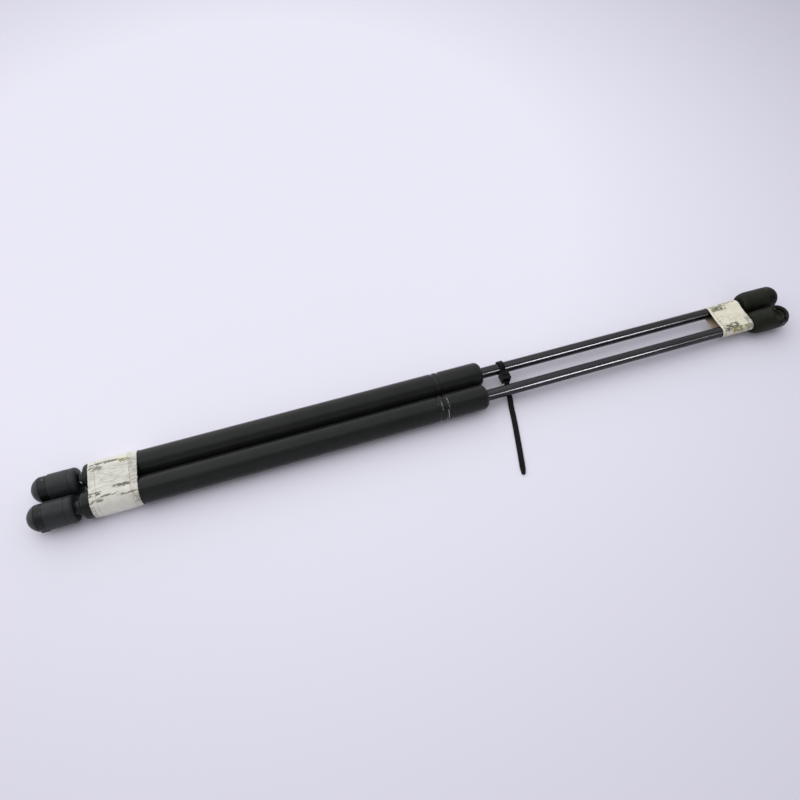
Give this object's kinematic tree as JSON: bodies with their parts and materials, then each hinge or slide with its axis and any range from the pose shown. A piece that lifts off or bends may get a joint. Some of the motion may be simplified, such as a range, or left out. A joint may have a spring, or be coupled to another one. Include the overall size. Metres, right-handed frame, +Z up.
{
  "type": "gas strut stay pair",
  "caption": "Bound pair of ball-ended gas strut stays: black tubes, steel rods and plastic ball sockets, held by masking tape bands and a cable tie.",
  "frame": {"origin": "underside of the tube tape, midway between the two struts", "axes": "+X along the struts from the tube ends to the rod ends, +Y towards the left strut, +Z up from the surface the bundle rests on"},
  "size_m": [0.5565, 0.0887, 0.0194],
  "materials": {
    "tube_paint": "satin black paint",
    "rod_steel": "dark nitrided, polished",
    "zinc_steel": "zinc plated",
    "clip_steel": "black phosphated spring steel",
    "socket_plastic": "moulded, satin",
    "tie_nylon": "moulded nylon",
    "guide_nylon": "machined",
    "ptfe": "machined",
    "masking_tape": "creped paper",
    "nitrile": "moulded",
    "brass": "turned",
    "piston_alloy": "turned"
  },
  "bodies": {
    "tubes": {"left_tube": "tube_paint", "left_end_plug": "zinc_steel", "left_plug_o_ring": "nitrile", "left_stop_washer": "nitrile", "left_seal_retainer": "zinc_steel", "left_backup_washer": "brass", "left_rod_seal": "nitrile", "left_rod_guide": "guide_nylon", "left_tube_end_socket": "socket_plastic", "right_tube": "tube_paint", "right_end_plug": "zinc_steel", "right_plug_o_ring": "nitrile", "right_stop_washer": "nitrile", "right_seal_retainer": "zinc_steel", "right_backup_washer": "brass", "right_rod_seal": "nitrile", "right_rod_guide": "guide_nylon", "right_tube_end_socket": "socket_plastic", "tube_tape": "masking_tape"},
    "left_rod": {"left_piston_rod": "rod_steel", "left_piston": "piston_alloy", "left_piston_ring": "ptfe", "left_piston_washer": "zinc_steel", "left_piston_nut": "zinc_steel", "left_rod_end_socket": "socket_plastic", "rod_tape": "masking_tape"},
    "right_rod": {"right_piston_rod": "rod_steel", "right_piston": "piston_alloy", "right_piston_ring": "ptfe", "right_piston_washer": "zinc_steel", "right_piston_nut": "zinc_steel", "right_rod_end_socket": "socket_plastic"},
    "tie": {"cable_tie": "tie_nylon"},
    "left_tube_end_clip": {"left_tube_end_clip": "clip_steel"},
    "left_rod_end_clip": {"left_rod_end_clip": "clip_steel"},
    "right_tube_end_clip": {"right_tube_end_clip": "clip_steel"},
    "right_rod_end_clip": {"right_rod_end_clip": "clip_steel"}
  },
  "joints": [
    {"name": "left_rod_slide", "type": "slide", "parent": "tubes", "child": "left_rod", "axis": [1, 0, 0], "range_m": [-0.165, 0], "stiffness_N_per_m": 600, "springref_m": 0.5},
    {"name": "right_rod_slide", "type": "slide", "parent": "tubes", "child": "right_rod", "axis": [1, 0, 0], "range_m": [-0.165, 0], "stiffness_N_per_m": 600, "springref_m": 0.5},
    {"name": "tie_slide", "type": "slide", "parent": "tubes", "child": "tie", "axis": [1, 0, 0], "range_m": [-0.012, 0]},
    {"name": "left_tube_end_clip_lift", "type": "slide", "parent": "tubes", "child": "left_tube_end_clip", "axis": [0, 0, 1], "range_m": [0, 0.0025], "stiffness_N_per_m": 400},
    {"name": "left_rod_end_clip_lift", "type": "slide", "parent": "left_rod", "child": "left_rod_end_clip", "axis": [0, 0, 1], "range_m": [0, 0.0025], "stiffness_N_per_m": 400},
    {"name": "right_tube_end_clip_lift", "type": "slide", "parent": "tubes", "child": "right_tube_end_clip", "axis": [0, 0, 1], "range_m": [0, 0.0025], "stiffness_N_per_m": 400},
    {"name": "right_rod_end_clip_lift", "type": "slide", "parent": "right_rod", "child": "right_rod_end_clip", "axis": [0, 0, -1], "range_m": [0, 0.0025], "stiffness_N_per_m": 400}
  ],
  "couplings": [
    {"joint": "right_rod_slide", "follows": "left_rod_slide", "ratio": 1}
  ]
}
